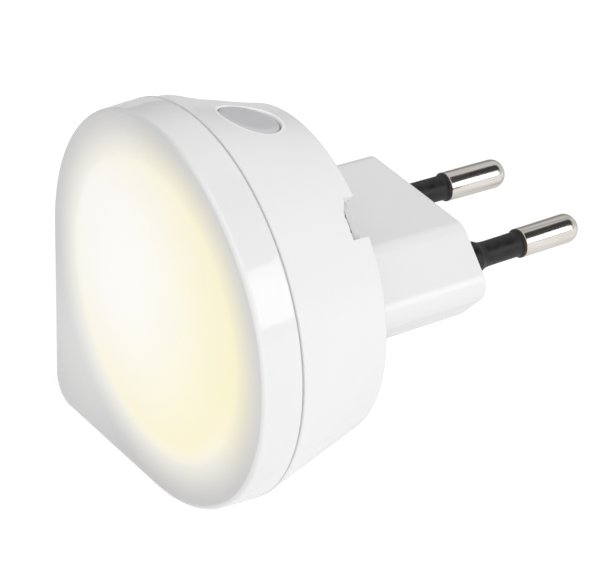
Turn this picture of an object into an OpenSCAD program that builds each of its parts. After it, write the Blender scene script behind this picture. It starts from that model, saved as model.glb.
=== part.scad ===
// Plug-in night light: a round lamp head on a two-pin mains plug.
// The origin is the centre of the plug's engagement face, midway between the
// pins. +Y points into the outlet, +Z is up, and the lit face looks along -Y.

/* [Head] */
// Radius of the round head at the parting line
head_r = 27.1; // [26.5:0.1:28.5]
// Radius of the head at the rim of its lit face
front_r = 26.95; // [26.3:0.05:27.1]
// Radius of the head at its rear edge
rear_r = 22.4; // [22:0.1:23.5]
// Radius of the squared corner, low on the left of the lit face
corner_r = 3.8; // [2.8:0.1:5]
// Height of the head's axis above the plug's axis
head_z = 0.3; // [0:0.05:1]
// Distance from the plug face to the head's rear edge
rear_d = 19.05; // [18.85:0.05:19.25]
// Distance from the plug face to the parting line
seam_d = 34.55; // [34.35:0.05:34.75]
// Distance from the plug face to the rim of the lit face
front_d = 40.35; // [40.25:0.05:41.45]
// Rise of the lit face from its rim to its middle
dome_h = 0.6; // [0.2:0.1:1.5]
// Radius of the edge round the lit face
rim_r = 0.7; // [0.6:0.1:1.4]
// Wall thickness of the mouldings
wall = 1.6; // [1.4:0.1:1.8]
// Width of the open parting line between cover and housing
seam_gap = 0.3; // [0.1:0.05:0.5]

/* [Light sensor] */
// Distance from the plug face to the middle of the sensor window
window_d = 26.2; // [25.6:0.1:26.6]
// Radius of the visible part of the sensor window
window_r = 4.2; // [4:0.05:4.4]
// Depth of the window below the housing's surface
window_sink = 0.35; // [0.1:0.05:0.6]
// Diameter of the photocell
cell_dia = 5.1; // [4:0.1:5.2]

/* [Pry notch] */
// Angle of the notch round the head, from the right towards the top
notch_a = 45; // [30:0.5:60]
// Width of the notch
notch_w = 5.5; // [4:0.1:8]
// Depth of the notch from the rear edge
notch_depth = 2.9; // [2.3:0.1:3]

/* [Plug] */
// Width of the plug body across its side tips
plug_w = 33.6; // [33:0.1:35]
// Height of the plug body
plug_h = 13.8; // [13.2:0.1:14.4]
// Radius of the rounded lengthwise edges
plug_edge_r = 2.85; // [1.5:0.05:3]
// Radius of the edge round the engagement face
plug_face_r = 0.4; // [0.3:0.1:1.2]
// Growth of the plug body per side, from its face to the head
plug_draft = 0.35; // [0:0.05:0.6]
// Diameter of the pins' bare metal
pin_dia = 4.0; // [3.94:0.01:4.06]
// Reach of the pins from the engagement face
pin_len = 19.4; // [18.5:0.1:19.6]
// Spacing of the pins at the engagement face
pin_base = 18.4; // [18:0.1:19.2]
// Spacing of the pins at their tips
pin_tips = 17.4; // [17:0.1:18]
// Diameter of the insulating sleeves
sleeve_dia = 3.4; // [3.2:0.05:3.8]
// Length of the insulated part of the pins
sleeve_len = 10.3; // [10:0.1:11]

/* [Circuit board] */
// Radius of the round circuit board
board_r = 22.5; // [22:0.1:22.8]
// Thickness of the circuit board
board_t = 1.6; // [1.5:0.1:1.6]
// Distance from the plug face to the board's rear side
board_d = 30.85; // [30.75:0.05:30.95]
// Number of light-emitting diodes
led_count = 4; // [3:1:6]
// Radius of the circle that the diodes stand on
led_ring_r = 8.5; // [8:0.1:9]

/* [Hidden] */
eps = 0.02;
taper = (head_r - rear_r) / (seam_d - rear_d);   // cone of the rear housing
cone_a = atan(taper);
function cone_r(d) = rear_r + taper * (d - rear_d);
pin_tilt = asin((pin_base - pin_tips) / 2 / pin_len);
board_front = board_d + board_t;
post_xy = [[-18.2, -5.5], [18.2, -5.5]];         // posts that carry the board
foot_xy = [[0, 15], [-13, -7.5], [13, -7.5]];    // feet of the reflector
plate_d = 21.3;                                  // inner side of the back plate
tail_d = 21.95;                                  // end of the pins' tails
wire_xy = [13.5, -4];                            // where the wires meet the board
lead_r = 0.3;                                    // component leads
hook_a = [40, 140, 270];                         // snap hooks of the back plate
// lead holes of the board, on the head's axis
lead_xy = [[-5, -10.5], [5, -10.5],
           [7.35, 9.4], [9.85, 9.4],
           [-5.5, 2.4], [-5.5, 10.6], [-8.7, 2.4], [-8.7, 10.6],
           [-11.9, 2.4], [-11.9, 10.6], [-15.1, 2.4], [-15.1, 10.6],
           [-17.4, -11.2], [-8.6, -11.2], [8.9, -11.2], [17.3, -11.2],
           [14.2, 2.4], [14.2, 10.4], [-2.4, -1.9], [5.6, -1.9],
           [-1.27, 5.2], [0, 6.4], [1.27, 5.2],
           [-1.7, 17.6], [1.7, 17.6]];

// local axes: x stays, y is up, z runs from the plug face to the lit face
module on_head() { translate([0, 0, head_z]) rotate([90, 0, 0]) children(); }

// pin axis: z runs from the engagement face to the pin's tip
module on_pin(side) {
    translate([side * pin_base / 2, 0, 0]) rotate([0, 0, side * pin_tilt])
        rotate([-90, 0, 0]) children();
}

// window axis: z points out of the head through the window, 0 on its surface
module on_window() {
    translate([0, cone_r(window_d), window_d]) rotate([-90 - cone_a, 0, 0]) children();
}

// circle with one squared corner, low on the left
module outline(r, rc) {
    hull() {
        circle(r, $fn = 128);
        translate([-(r - rc), -(r - rc)]) circle(rc, $fn = 32);
    }
}

// a thin slice of that outline, as a pair of discs for a hull
module slice(r, rc, d) {
    translate([0, 0, d]) cylinder(h = eps, r = r, $fn = 96);
    translate([-(r - rc), -(r - rc), d]) cylinder(h = eps, r = rc, $fn = 32);
}

module rod(a, b, r) {
    v = b - a;
    l = norm(v);
    translate(a) rotate([0, acos(v.z / l), atan2(v.y, v.x)]) cylinder(h = l, r = r, $fn = 24);
}

// component with two wire ends, lying along x at height h over the board
module axial(len, r, pitch, h, lr = lead_r) {
    translate([0, 0, board_d - h]) {
        translate([-len / 2, 0, 0]) rotate([0, 90, 0]) cylinder(h = len, r = r, $fn = 32);
        for (s = [-1, 1]) {
            translate([s > 0 ? len / 2 - 0.1 : -pitch / 2, 0, 0]) rotate([0, 90, 0])
                cylinder(h = (pitch - len) / 2 + 0.1, r = lr, $fn = 16);
            translate([s * pitch / 2, 0, 0]) sphere(lr * 1.05, $fn = 16);
            translate([s * pitch / 2, 0, 0]) cylinder(h = h + board_t + 0.6, r = lr, $fn = 16);
        }
    }
}

// ---- mouldings -------------------------------------------------------------

module front_cover() {
    rear = seam_d + seam_gap / 2;
    color("white") on_head() {
        difference() {
            hull() {
                slice(head_r - 0.15, corner_r - 0.15, rear);
                slice(head_r - 0.01, corner_r, rear + 0.2);
                slice(front_r, corner_r, front_d - rim_r - eps);
                for (a = [22.5 : 22.5 : 90])
                    slice(front_r - rim_r * (1 - cos(a)), corner_r - rim_r * (1 - cos(a)),
                          front_d - rim_r * (1 - sin(a)) - eps);
                for (k = [0.8, 0.6, 0.4, 0.2])
                    translate([0, 0, front_d + dome_h * (1 - k * k) - eps])
                        cylinder(h = eps, r = (front_r - rim_r) * k, $fn = 96);
            }
            hull() {
                slice(head_r - wall, corner_r - wall, rear - 1);
                slice(front_r - wall, corner_r - wall, front_d - wall - 0.8);
                slice(front_r - wall - 0.8, corner_r - wall - 0.4, front_d - wall);
            }
        }
        // shoulder and lip that enter the rear housing
        translate([0, 0, rear]) linear_extrude(1.35) difference() {
            outline(head_r - wall + 0.3, corner_r - wall + 0.3);
            outline(23.2, 1.4);
        }
        translate([0, 0, rear - 3]) difference() {
            linear_extrude(3.1) difference() {
                outline(24.4, 1.6);
                outline(23.2, 1.4);
            }
            // gap that keys the cover over the window's collar
            translate([-6.8, 20, -1]) cube([13.6, 8, 2.8]);
        }
    }
}

module rear_housing() {
    front = seam_d - seam_gap / 2;
    color("white") difference() {
        on_head() {
            difference() {
                hull() {
                    slice(cone_r(front) - 0.18, corner_r - 0.15, front - eps);
                    slice(cone_r(front - 0.2), corner_r, front - 0.2);
                    slice(cone_r(rear_d + 0.4), corner_r, rear_d + 0.4);
                    slice(rear_r - 0.05, corner_r, rear_d + 0.15);
                    slice(rear_r - 0.4, corner_r, rear_d);
                }
                // tapered cavity
                hull() {
                    slice(cone_r(35.95) - wall, corner_r - wall, 35.95);
                    slice(cone_r(22.35) - wall, corner_r - wall, 22.35);
                }
                // seat of the back plate, and the ledge that it rests on
                translate([0, 0, rear_d - 1]) linear_extrude(21.35 - rear_d + 1)
                    outline(20.8, corner_r - wall);
                translate([0, 0, rear_d]) linear_extrude(4) outline(19.8, 1.4);
                // room for the board's posts
                for (p = post_xy) translate([p.x, p.y, 21]) cylinder(h = 1.6, r = 2.8, $fn = 48);
            }
            // collar that holds the sensor window from inside
            intersection() {
                on_window() translate([0, 0, -3.4]) cylinder(h = 3.4, r = 6.2, $fn = 64);
                hull() {
                    slice(cone_r(33.45) - 0.6, corner_r, 33.45);
                    slice(cone_r(21.45) - 0.6, corner_r, 21.45);
                }
            }
        }
        on_head() on_window() {
            translate([0, 0, -1.9]) cylinder(h = 4, r = window_r + 0.05, $fn = 64);
            translate([0, 0, -4]) cylinder(h = 2.3, r = window_r + 0.75, $fn = 64);
            // broken edge round the opening
            translate([0, 0, -0.12]) cylinder(h = 1, r1 = window_r + 0.05, r2 = window_r + 1.05, $fn = 64);
        }
        // pry notch in the rear edge
        on_head() rotate([0, 0, notch_a]) translate([20.75, 0, 0]) rotate([0, 90, 0])
            linear_extrude(6) polygon([
                [1 - rear_d, -notch_w / 2], [1 - rear_d, notch_w / 2],
                [1 - rear_d - notch_depth, notch_w / 2],
                [-rear_d - notch_depth, notch_w / 2 - 2], [-rear_d - notch_depth, -notch_w / 2]]);
    }
}

module sensor_window() {
    color("silver") on_head() on_window() {
        translate([0, 0, -1.75]) cylinder(h = 1.75 - window_sink, r = window_r, $fn = 64);
        translate([0, 0, -2.6]) cylinder(h = 0.87, r = window_r + 0.7, $fn = 64);
    }
}

// cut of one pin, its collar and its sleeve's root in the plug body
module pin_cut(side) {
    on_pin(side) {
        translate([0, 0, -24]) cylinder(h = 24, r = 1.53, $fn = 32);
        translate([0, 0, -10.03]) cylinder(h = 2.06, r = 2.23, $fn = 32);
        translate([0, 0, -3.05]) cylinder(h = 4, r = sleeve_dia / 2 + 0.03, $fn = 32);
        translate([0, 0, -0.5]) cylinder(h = 1, r = sleeve_dia / 2 + 0.56, $fn = 48);
    }
}

module plug_base() {
    hw = plug_w / 2 - plug_edge_r;
    hh = plug_h / 2 - plug_edge_r;
    color("white") difference() {
        union() {
            // six-sided plug body with rounded edges
            hull() for (lv = [[0, plug_face_r, 0], [plug_face_r * 0.3, plug_face_r * 0.3, 0],
                              [plug_face_r, 0, 0], [19.65, 0, plug_draft]])
                for (p = [[hw, 0], [hw - hh, hh], [hh - hw, hh], [-hw, 0], [hh - hw, -hh], [hw - hh, -hh]])
                    translate([p.x + sign(p.x) * lv[2], 0, p.y + sign(p.y) * lv[2]])
                        translate([0, -lv[0], 0]) rotate([90, 0, 0])
                            cylinder(h = eps, r = plug_edge_r - lv[1], $fn = 32);
            on_head() {
                // back plate
                translate([0, 0, 19.45]) linear_extrude(plate_d - 19.45) outline(20.6, 1.7);
                // snap hooks behind the housing's ledge
                for (a = hook_a) rotate([0, 0, a]) {
                    translate([18.2, -2, plate_d - 0.1]) cube([1.4, 4, 2.2]);
                    translate([19.5, -2, 22.45]) cube([0.8, 4, 0.95]);
                }
                // tongue behind the pry notch
                rotate([0, 0, notch_a - 1.4]) translate([20, -0.8, rear_d + 1.6])
                    cube([1.1, 1.6, 0.55]);
                // posts for the board's screws
                for (p = post_xy) translate([p.x, p.y, plate_d - 0.1])
                    cylinder(h = board_d - plate_d + 0.1, r = 2.5, $fn = 48);
            }
        }
        for (s = [-1, 1]) pin_cut(s);
        on_head() for (p = post_xy) translate([p.x, p.y, plate_d + 1])
            cylinder(h = 12, r = 1.03, $fn = 32);
        // slot in front of the tongue
        on_head() rotate([0, 0, notch_a - 0.8]) translate([19.6, -1.1, rear_d + 1.22])
            cube([2, 2.2, 0.36]);
        // hollow core between the pins
        translate([-5.6, -24, -4.6]) cube([11.2, 20, 9.2]);
    }
}

// ---- pins ------------------------------------------------------------------

module pin() {
    e = 1.75;
    rotate_extrude($fn = 64) polygon(concat(
        [[0, -tail_d], [1.5, -tail_d], [1.5, -10], [2.2, -10], [2.2, -8], [1.5, -8],
         [1.5, -3.1], [1.35, -3.1], [1.35, sleeve_len], [pin_dia / 2, sleeve_len]],
        [for (a = [0 : 7.5 : 90]) [pin_dia / 2 - e + e * cos(a), pin_len - e + e * sin(a)]],
        [[0, pin_len]]));
}

module cupped_pin(side) {
    color("silver") on_pin(side) difference() {
        pin();
        translate([0, 0, -tail_d - 1]) cylinder(h = 4.5, r = 0.8, $fn = 24);
    }
}

module sleeve(side) {
    sr = sleeve_dia / 2;
    color([0.09, 0.09, 0.1]) on_pin(side) rotate_extrude($fn = 64) polygon([
        [1.37, -3], [sr, -3], [sr, -0.4], [sr + 0.5, -0.4],
        [sr + 0.5, 3.1], [sr + 0.2, 3.7], [sr + 0.05, 4.3], [sr, 5],
        [sr, sleeve_len - 0.85], [pin_dia / 2 - 0.08, sleeve_len - 0.4],
        [pin_dia / 2 - 0.03, sleeve_len - 0.02], [1.37, sleeve_len - 0.02]]);
}

module line_pin() { cupped_pin(1); }
module neutral_pin() { cupped_pin(-1); }
module line_pin_sleeve() { sleeve(1); }
module neutral_pin_sleeve() { sleeve(-1); }

// ---- board and light -------------------------------------------------------

module circuit_board() {
    color([0.1, 0.42, 0.2]) on_head() difference() {
        translate([0, 0, board_d]) cylinder(h = board_t, r = board_r, $fn = 128);
        for (p = post_xy) translate([p.x, p.y, 0]) cylinder(h = 60, r = 1.25, $fn = 32);
        for (p = lead_xy) translate([p.x, p.y, 0]) cylinder(h = 60, r = 0.45, $fn = 16);
        for (s = [-1, 1]) translate([s * wire_xy.x, wire_xy.y, 0]) cylinder(h = 60, r = 0.65, $fn = 16);
        // flat that clears the photocell's holder
        translate([-5, 19.9, 0]) cube([10, 5, 60]);
    }
}

module board_screws() {
    color("silver") on_head() for (p = post_xy) translate([p.x, p.y, board_front]) difference() {
        union() {
            translate([0, 0, -7.4]) cylinder(h = 7.5, r = 1.0, $fn = 32);
            cylinder(h = 0.7, r = 1.9, $fn = 48);
            translate([0, 0, 0.7]) cylinder(h = 0.6, r1 = 1.9, r2 = 1.3, $fn = 48);
        }
        for (a = [0, 90]) rotate([0, 0, a]) translate([-1.1, -0.22, 0.6]) cube([2.2, 0.44, 2]);
    }
}

module light_reflector() {
    color([0.97, 0.97, 0.95]) on_head() {
        difference() {
            union() {
                translate([0, 0, 33.45]) cylinder(h = 4.4, r1 = 14.6, r2 = 22.4, $fn = 128);
                translate([0, 0, 37.85]) cylinder(h = 0.6, r = 22.8, $fn = 128);
            }
            translate([0, 0, 33.35]) cylinder(h = 5.2, r1 = 13.4, r2 = 21.8, $fn = 128);
        }
        for (p = foot_xy) translate([p.x, p.y, board_front])
            cylinder(h = 1.5, r = 1.1, $fn = 32);
    }
}

module leds() {
    on_head() for (i = [0 : led_count - 1]) rotate([0, 0, 360 / led_count * (i + 0.5)])
        translate([led_ring_r, 0, board_front]) {
            color("white") difference() {
                translate([-2.5, -2.5, 0]) cube([5, 5, 1.5]);
                translate([0, 0, 1.1]) cylinder(h = 1, r = 2, $fn = 48);
            }
            color([0.98, 0.85, 0.3]) translate([0, 0, 1.09]) cylinder(h = 0.36, r = 1.99, $fn = 48);
        }
}

// ---- light sensor ----------------------------------------------------------

module photocell() {
    cell_top = -2.95;
    color([0.86, 0.7, 0.42]) on_head() {
        on_window() translate([0, 0, cell_top - 2.1]) cylinder(h = 2.1, r = cell_dia / 2, $fn = 48);
        for (s = [-1, 1]) {
            a = [s * 1.7, cone_r(window_d) + (cell_top - 2.0) * cos(cone_a), window_d + (cell_top - 2.0) * sin(-cone_a)];
            b = [s * 1.7, 17.6, a.z + (a.y - 17.6) * tan(cone_a)];
            rod(a, b, 0.26);
            translate(b) sphere(0.28, $fn = 16);
            rod(b, [s * 1.7, 17.6, board_front + 0.6], 0.26);
        }
    }
}

module photocell_holder() {
    color([0.12, 0.12, 0.13]) on_head() on_window() difference() {
        translate([0, 0, -5.4]) cylinder(h = 2.75, r = 3.7, $fn = 48);
        translate([0, 0, -7]) cylinder(h = 6, r = cell_dia / 2 + 0.1, $fn = 48);
    }
}

// ---- components behind the board -------------------------------------------

module film_capacitor() {
    color([0.93, 0.77, 0.2]) on_head() {
        translate([-6.5, -13.6, board_d - 8.9]) cube([13, 6.2, 8.8]);
        for (s = [-1, 1]) translate([s * 5, -10.5, board_d - 0.2])
            cylinder(h = board_t + 0.8, r = lead_r, $fn = 16);
    }
}

module smoothing_capacitor() {
    color([0.15, 0.2, 0.45]) on_head() translate([8.6, 9.4, board_d]) {
        difference() {
            translate([0, 0, -8.4]) cylinder(h = 8.3, r = 3.15, $fn = 64);
            translate([0, 0, -8.5]) cylinder(h = 0.35, r = 2.5, $fn = 64);
            // crimp groove near the board
            translate([0, 0, -1.6]) difference() {
                cylinder(h = 0.5, r = 4, $fn = 64);
                translate([0, 0, -0.1]) cylinder(h = 0.7, r = 2.9, $fn = 64);
            }
        }
        for (s = [-1, 1]) translate([s * 1.25, 0, -0.2]) cylinder(h = board_t + 0.8, r = 0.25, $fn = 16);
    }
}

module rectifier_diodes() {
    color([0.13, 0.13, 0.14]) on_head() for (x = [-5.5, -8.7, -11.9, -15.1])
        translate([x, 6.5, 0]) rotate([0, 0, 90]) axial(5.2, 1.35, 8.2, 1.5, 0.35);
}

module fuse_resistor() {
    color([0.45, 0.6, 0.5]) on_head() translate([-13, -11.2, 0]) axial(6.8, 1.7, 8.8, 1.9);
}

module bleed_resistor() {
    color([0.5, 0.65, 0.8]) on_head() translate([13.1, -11.2, 0]) axial(6.3, 1.2, 8.4, 1.4);
}

module sense_resistor() {
    color([0.8, 0.7, 0.5]) on_head() translate([14.2, 6.4, 0]) rotate([0, 0, 90])
        axial(6.0, 1.15, 8, 1.35);
}

module led_resistor() {
    color([0.8, 0.7, 0.5]) on_head() translate([1.6, -1.9, 0]) axial(6.0, 1.15, 8, 1.35);
}

module switching_transistor() {
    color([0.1, 0.1, 0.11]) on_head() {
        translate([0, 5.4, board_d - 6.6]) difference() {
            cylinder(h = 4.6, r = 2.35, $fn = 48);
            translate([-3, -4.4, -1]) cube([6, 3, 7]);
        }
        for (p = [[-1.27, 5.2], [0, 6.4], [1.27, 5.2]])
            translate([p.x, p.y, board_d - 2.1]) cylinder(h = 2.1 + board_t + 0.6, r = 0.26, $fn = 16);
    }
}

// ---- wires from the pins to the board ---------------------------------------

module wire(side) {
    x0 = pin_base / 2 + tail_d * tan(pin_tilt);
    a = [side * x0, -head_z, tail_d + 0.3];
    b = [side * (x0 + 0.3), -head_z - 0.3, 24.65];
    c = [side * wire_xy.x, wire_xy.y, 27.85];
    d = [side * wire_xy.x, wire_xy.y, board_d - 0.3];
    on_head() {
        rod(a, b, 1.05);
        translate(b) sphere(1.09, $fn = 24);
        rod(b, c, 1.05);
        translate(c) sphere(1.09, $fn = 24);
        rod(c, d, 1.05);
        translate([a.x, a.y, a.z - 3]) cylinder(h = 3.2, r = 0.5, $fn = 16);
        translate([d.x, d.y, d.z - 0.2]) cylinder(h = 0.5 + board_t + 0.6, r = 0.5, $fn = 16);
    }
}

module line_wire() { color([0.5, 0.3, 0.15]) wire(1); }
module neutral_wire() { color([0.2, 0.4, 0.8]) wire(-1); }

front_cover();
rear_housing();
sensor_window();
plug_base();
line_pin();
neutral_pin();
line_pin_sleeve();
neutral_pin_sleeve();
circuit_board();
board_screws();
light_reflector();
leds();
photocell();
photocell_holder();
film_capacitor();
smoothing_capacitor();
rectifier_diodes();
fuse_resistor();
bleed_resistor();
sense_resistor();
led_resistor();
switching_transistor();
line_wire();
neutral_wire();
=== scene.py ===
import math

import bmesh
import bpy
import numpy as np
from mathutils import Matrix, Vector


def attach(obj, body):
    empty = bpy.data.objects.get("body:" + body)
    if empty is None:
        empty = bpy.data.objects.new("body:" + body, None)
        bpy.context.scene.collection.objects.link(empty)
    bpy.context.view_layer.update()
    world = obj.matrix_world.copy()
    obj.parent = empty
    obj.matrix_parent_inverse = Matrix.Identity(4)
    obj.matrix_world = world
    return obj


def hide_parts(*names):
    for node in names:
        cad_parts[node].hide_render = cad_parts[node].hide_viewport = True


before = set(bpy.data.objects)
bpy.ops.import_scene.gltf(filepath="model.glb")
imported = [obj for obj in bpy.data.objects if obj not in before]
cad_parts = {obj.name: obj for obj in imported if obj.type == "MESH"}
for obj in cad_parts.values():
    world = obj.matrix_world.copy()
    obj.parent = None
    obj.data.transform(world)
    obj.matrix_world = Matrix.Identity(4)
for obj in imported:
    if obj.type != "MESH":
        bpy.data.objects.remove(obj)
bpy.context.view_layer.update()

# Sizes in millimetres. d is the distance from the plug's face towards the lit face, so y = -d.
HEAD_Z = 0.3
HEAD_R, FRONT_R, REAR_R, CORNER_R = 27.1, 26.95, 22.4, 3.8
SEAM_D, FRONT_D, REAR_D = 34.55, 40.35, 19.05
GAP = 0.21
TAPER = (HEAD_R - REAR_R) / (SEAM_D - REAR_D)
CONE_A = math.atan(TAPER)
WIN_D, WIN_R, WIN_SINK = 26.2, 4.2, 0.16
MM = 0.001


def cone_r(d):
    return REAR_R + TAPER * (d - REAR_D)


# ---- mesh helpers ----------------------------------------------------------

def new_object(name, verts, faces, smooth=30.0):
    me = bpy.data.meshes.new(name)
    me.from_pydata([tuple(float(c) * MM for c in v) for v in verts], [], faces)
    me.validate()
    ob = bpy.data.objects.new(name, me)
    bpy.context.scene.collection.objects.link(ob)
    bm = bmesh.new()
    bm.from_mesh(me)
    bmesh.ops.remove_doubles(bm, verts=bm.verts, dist=1e-7)
    bmesh.ops.recalc_face_normals(bm, faces=bm.faces)
    bm.to_mesh(me)
    bm.free()
    shade(ob, smooth)
    return ob


def shade(ob, angle):
    me = ob.data
    me.polygons.foreach_set("use_smooth", [True] * len(me.polygons))
    me.set_sharp_from_angle(angle=math.radians(angle))
    me.update()


def loft(rings, cyclic=False, first_point=None, last_point=None):
    """Vertices and faces of a skin through closed rings of equal count."""
    n = len(rings[0])
    verts = [p for ring in rings for p in ring]
    faces = []
    m = len(rings)
    for i in range(m if cyclic else m - 1):
        a, b = i * n, ((i + 1) % m) * n
        for j in range(n):
            k = (j + 1) % n
            faces.append((a + j, a + k, b + k, b + j))
    for point, start in ((first_point, 0), (last_point, (m - 1) * n)):
        if point is not None:
            verts.append(point)
            c = len(verts) - 1
            for j in range(n):
                faces.append((start + j, start + (j + 1) % n, c))
    return verts, faces


N_ROUND, N_LINE, N_ARC = 324, 22, 20
COLUMNS = N_ROUND + 2 * N_LINE + N_ARC


def outline(r, rc):
    """The head's outline seen from in front: a circle with one squared corner, low on the left. Starts at the bottom and runs up the right side."""
    a = r - rc
    pts = []
    for i in range(N_ROUND):
        t = math.radians(-90 + 270 * i / N_ROUND)
        pts.append((r * math.cos(t), r * math.sin(t)))
    for i in range(N_LINE):
        pts.append((-r, -a * i / N_LINE))
    for i in range(N_ARC):
        t = math.radians(180 + 90 * i / N_ARC)
        pts.append((-a + rc * math.cos(t), -a + rc * math.sin(t)))
    for i in range(N_LINE):
        pts.append((-a * (1 - i / N_LINE), -r))
    return pts


def ring(r, rc, d, k=1.0, swell=None):
    out = []
    for x, z in outline(r, rc):
        f = k
        if swell is not None:
            f *= 1 + swell(math.degrees(math.atan2(z, x)) % 360, d) / r
        out.append((x * f, -d, z * f + HEAD_Z))
    return out


def lathe(profile, n=96):
    """Skin of revolution about +Y, from (radius, y) pairs; ends on the axis are closed with one point."""
    rings, first, last = [], None, None
    pts = list(profile)
    if pts[0][0] < 1e-6:
        first = (0, pts[0][1], 0)
        pts = pts[1:]
    if pts[-1][0] < 1e-6:
        last = (0, pts[-1][1], 0)
        pts = pts[:-1]
    for r, y in pts:
        rings.append([(r * math.cos(2 * math.pi * j / n), y, r * math.sin(2 * math.pi * j / n)) for j in range(n)])
    return loft(rings, first_point=first, last_point=last)


def placed(verts, matrix):
    return [tuple(matrix @ Vector(v)) for v in verts]


def rounded_box(size, radius, segments=3):
    """Vertices and faces of a box with rounded edges, centred on the origin."""
    bm = bmesh.new()
    bmesh.ops.create_cube(bm, size=1.0)
    bmesh.ops.scale(bm, vec=Vector(size), verts=bm.verts)
    bmesh.ops.bevel(bm, geom=list(bm.edges), offset=radius, segments=segments, profile=0.5, affect="EDGES")
    bm.verts.index_update()
    verts = [tuple(v.co) for v in bm.verts]
    faces = [tuple(v.index for v in f.verts) for f in bm.faces]
    bm.free()
    return verts, faces


def joined(*parts):
    verts, faces = [], []
    for v, f in parts:
        base = len(verts)
        verts += list(v)
        faces += [tuple(i + base for i in face) for face in f]
    return verts, faces


# ---- front cover -----------------------------------------------------------

def make_cover():
    rings = []
    rim, dome = 0.7, 0.52
    rf, rcf = FRONT_R - rim, CORNER_R - rim
    for k in (0.015, 0.06, 0.12, 0.2, 0.3, 0.4, 0.5, 0.6, 0.7, 0.78, 0.85, 0.9, 0.94, 0.97, 0.99):
        rings.append(ring(rf, rcf, FRONT_D + dome * (1 - k * k) ** 2, k=k))
    for i in range(0, 11):
        t = math.radians(9 * i)
        rings.append(ring(rf + rim * math.sin(t), rcf + rim * math.sin(t), FRONT_D - rim * (1 - math.cos(t))))
    rear = SEAM_D + GAP / 2
    side_r = HEAD_R - 0.02
    for k in (0.25, 0.5, 0.75, 1.0):
        d = (FRONT_D - rim) + (rear + 0.22 - FRONT_D + rim) * k
        rings.append(ring(FRONT_R + (side_r - FRONT_R) * k, CORNER_R, d))
    for i in range(1, 5):
        t = math.radians(22.5 * i)
        rings.append(ring(side_r - 0.22 * (1 - math.cos(t)), CORNER_R - 0.22 * (1 - math.cos(t)), rear + 0.22 * (1 - math.sin(t))))
    # shallow floor of the open parting line, then the lip inside the housing
    rings.append(ring(26.70, 3.35, rear))
    rings.append(ring(26.70, 3.35, rear - 0.18))
    rings.append(ring(25.8, 2.2, rear - 0.18))
    rings.append(ring(24.4, 1.6, rear - 0.18))
    rings.append(ring(24.4, 1.6, 31.75))
    rings.append(ring(23.2, 1.4, 31.75))
    rings.append(ring(23.2, 1.4, 36.05))
    rings.append(ring(25.4, 1.8, 36.15))
    rings.append(ring(25.0, 1.6, 37.85))
    rings.append(ring(24.4, 1.4, 38.75))
    for k in (0.7, 0.35, 0.02):
        rings.append(ring(24.4, 1.4, 38.8, k=k))
    first = (0, -(FRONT_D + dome), HEAD_Z)
    last = (0, -38.8, HEAD_Z)
    verts, faces = loft(rings, first_point=first, last_point=last)
    return new_object("cover_moulding", verts, faces, 35)


# ---- rear housing ----------------------------------------------------------

def swell(phi, d):
    """Low finger ridge behind the parting line, high on the left, and the slight flat behind it."""
    across = max(0.0, 1 - abs(phi - 122) / 17.0)
    across = across * across * (3 - 2 * across)
    ridge = max(0.0, 1 - abs(d - 30.75) / 2.9)
    ridge = ridge * ridge * (3 - 2 * ridge)
    flat = max(0.0, 1 - abs(d - 22.45) / 4.2)
    flat = flat * flat * (3 - 2 * flat)
    return across * (0.52 * ridge - 0.3 * flat)


def window_frame():
    n = Vector((0, math.sin(CONE_A), math.cos(CONE_A)))
    v = Vector((0, -math.cos(CONE_A), math.sin(CONE_A)))
    return Vector((0, -WIN_D, HEAD_Z + cone_r(WIN_D))), Vector((1, 0, 0)), v, n


def on_cone(p, q, inset):
    """Point of the housing's (inset) cone above window coordinates p, q."""
    c, u, v, n = window_frame()
    h = 0.0
    for _ in range(12):
        w = c + u * p + v * q + n * h
        x, z, d = w.x, w.z - HEAD_Z, -w.y
        r = math.hypot(x, z)
        h += (cone_r(d) - inset - r) * math.cos(CONE_A)
    return c + u * p + v * q + n * h, h


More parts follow.
